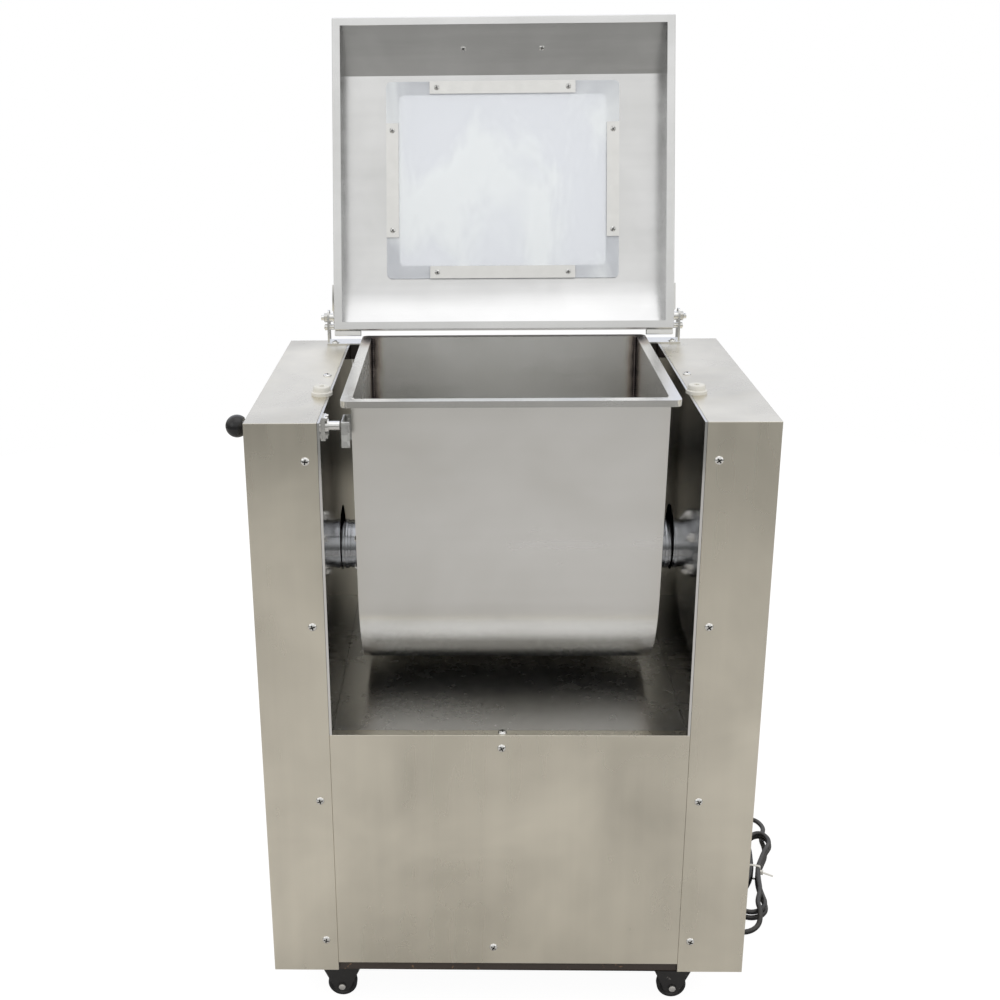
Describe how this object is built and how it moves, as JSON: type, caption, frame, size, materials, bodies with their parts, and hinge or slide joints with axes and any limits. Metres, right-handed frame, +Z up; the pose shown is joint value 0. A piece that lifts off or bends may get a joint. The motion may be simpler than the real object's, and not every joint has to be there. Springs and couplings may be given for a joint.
{
  "type": "electric meat mixer",
  "caption": "Free-standing electric meat mixer: tilting tank with paddle shaft between two columns, hinged lid with window, lock pin, casters.",
  "frame": {"origin": "on the floor under the middle of the machine", "axes": "+X to the right column, +Y to the back, +Z up"},
  "size_m": [0.832, 0.638, 1.3549],
  "materials": {
    "brushed_cover": "satin brushed",
    "polished_panel": "mirror bright",
    "satin_tank": "satin",
    "lid_steel": "bright rolled",
    "clear_pane": "clear plastic with a milky film",
    "bright_fittings": "bright",
    "galvanised": "galvanised",
    "dark_frame": "satin paint",
    "caster_black": "black coated",
    "wheel_black": "moulded",
    "knob_black": "moulded",
    "nylon_white": "moulded",
    "cord_black": "smooth sheath",
    "switch_gray": "moulded",
    "button_green": "gloss",
    "button_black": "gloss",
    "button_red": "gloss",
    "bush_plastic": "machined",
    "housing_iron": "painted casting",
    "gear_paint": "machine enamel",
    "chain_steel": "oiled",
    "machined_steel": "machined"
  },
  "bodies": {
    "frame": {"base_frame": "dark_frame", "column_towers": "dark_frame", "left_column_cover": "brushed_cover", "right_column_cover": "brushed_cover", "left_inner_panel": "polished_panel", "right_inner_panel": "polished_panel", "front_panel": "brushed_cover", "deck_pan": "polished_panel", "rear_panel": "brushed_cover", "rear_cross_member": "dark_frame", "deck_cleats": "dark_frame", "bearing_housings": "housing_iron", "housing_bolts": "bright_fittings", "drive_chain": "chain_steel", "gearbox": "gear_paint", "motor": "gear_paint", "motor_table": "dark_frame", "hinge_brackets": "bright_fittings", "hinge_pins": "bright_fittings", "lid_pads": "nylon_white", "lock_guide": "bright_fittings", "casing_screws": "bright_fittings", "caster_tops": "caster_black", "switch_box": "switch_gray", "cord_gland": "knob_black", "cord_lead": "cord_black", "cord_hank": "cord_black", "cord_tail": "cord_black", "cable_tie": "nylon_white", "plug": "cord_black"},
    "lid": {"lid_shell": "lid_steel", "lid_window": "clear_pane", "window_strips": "bright_fittings", "lid_screws": "bright_fittings", "lid_handle": "bright_fittings", "lid_hinge_plates": "bright_fittings"},
    "tank": {"tank_shell": "satin_tank", "left_trunnion": "machined_steel", "right_trunnion": "machined_steel", "flange_nuts": "bright_fittings", "shaft_bushes": "bush_plastic", "lock_catch": "galvanised"},
    "shaft": {"mixing_shaft": "machined_steel", "mixing_paddles": "machined_steel", "driven_sprocket": "chain_steel"},
    "motor_drive": {"gearbox_shaft": "machined_steel", "motor_sprocket": "chain_steel"},
    "lock_pin": {"lock_pin": "bright_fittings", "ball_knob": "knob_black"},
    "start_button": {"start_button": "button_green"},
    "reverse_button": {"reverse_button": "button_black"},
    "stop_button": {"stop_button": "button_red"},
    "fork_front_left": {"caster_fork_front_left": "caster_black"},
    "wheel_front_left": {"caster_wheel_front_left": "wheel_black"},
    "fork_rear_left": {"caster_fork_rear_left": "caster_black"},
    "wheel_rear_left": {"caster_wheel_rear_left": "wheel_black"},
    "fork_front_right": {"caster_fork_front_right": "caster_black"},
    "wheel_front_right": {"caster_wheel_front_right": "wheel_black"},
    "fork_rear_right": {"caster_fork_rear_right": "caster_black"},
    "wheel_rear_right": {"caster_wheel_rear_right": "wheel_black"}
  },
  "joints": [
    {"name": "lid_hinge", "type": "hinge", "parent": "frame", "child": "lid", "pos_m": [0, 0.148, 0.918], "axis": [1, 0, 0], "range_deg": [0, 106]},
    {"name": "tank_tilt", "type": "hinge", "parent": "frame", "child": "tank", "pos_m": [0, -0.078, 0.632], "axis": [-1, 0, 0], "range_deg": [-80, 0]},
    {"name": "shaft_spin", "type": "hinge", "parent": "frame", "child": "shaft", "pos_m": [0, -0.078, 0.632], "axis": [1, 0, 0], "continuous": true, "deforming": ["drive_chain"]},
    {"name": "motor_spin", "type": "hinge", "parent": "frame", "child": "motor_drive", "pos_m": [0.298, -0.078, 0.23864], "axis": [1, 0, 0], "continuous": true},
    {"name": "lock_pin_slide", "type": "slide", "parent": "frame", "child": "lock_pin", "axis": [1, 0, 0], "range_m": [-0.012, 0]},
    {"name": "start_button_press", "type": "slide", "parent": "frame", "child": "start_button", "axis": [1, 0, 0], "range_m": [-0.004, 0], "stiffness_N_per_m": 400},
    {"name": "reverse_button_press", "type": "slide", "parent": "frame", "child": "reverse_button", "axis": [1, 0, 0], "range_m": [-0.004, 0], "stiffness_N_per_m": 400},
    {"name": "stop_button_press", "type": "slide", "parent": "frame", "child": "stop_button", "axis": [1, 0, 0], "range_m": [-0.004, 0], "stiffness_N_per_m": 400},
    {"name": "swivel_front_left", "type": "hinge", "parent": "frame", "child": "fork_front_left", "pos_m": [-0.239, -0.271, 0.06], "axis": [0, 0, 1], "continuous": true},
    {"name": "roll_front_left", "type": "hinge", "parent": "fork_front_left", "child": "wheel_front_left", "pos_m": [-0.239, -0.271, 0.021], "axis": [0, 1, 0], "continuous": true},
    {"name": "swivel_rear_left", "type": "hinge", "parent": "frame", "child": "fork_rear_left", "pos_m": [-0.239, 0.115, 0.06], "axis": [0, 0, 1], "continuous": true},
    {"name": "roll_rear_left", "type": "hinge", "parent": "fork_rear_left", "child": "wheel_rear_left", "pos_m": [-0.239, 0.115, 0.021], "axis": [0, 1, 0], "continuous": true},
    {"name": "swivel_front_right", "type": "hinge", "parent": "frame", "child": "fork_front_right", "pos_m": [0.239, -0.271, 0.06], "axis": [0, 0, 1], "continuous": true},
    {"name": "roll_front_right", "type": "hinge", "parent": "fork_front_right", "child": "wheel_front_right", "pos_m": [0.239, -0.271, 0.021], "axis": [0, 1, 0], "continuous": true},
    {"name": "swivel_rear_right", "type": "hinge", "parent": "frame", "child": "fork_rear_right", "pos_m": [0.239, 0.115, 0.06], "axis": [0, 0, 1], "continuous": true},
    {"name": "roll_rear_right", "type": "hinge", "parent": "fork_rear_right", "child": "wheel_rear_right", "pos_m": [0.239, 0.115, 0.021], "axis": [0, 1, 0], "continuous": true}
  ],
  "couplings": [
    {"joint": "motor_spin", "follows": "shaft_spin", "ratio": 2.0833}
  ]
}
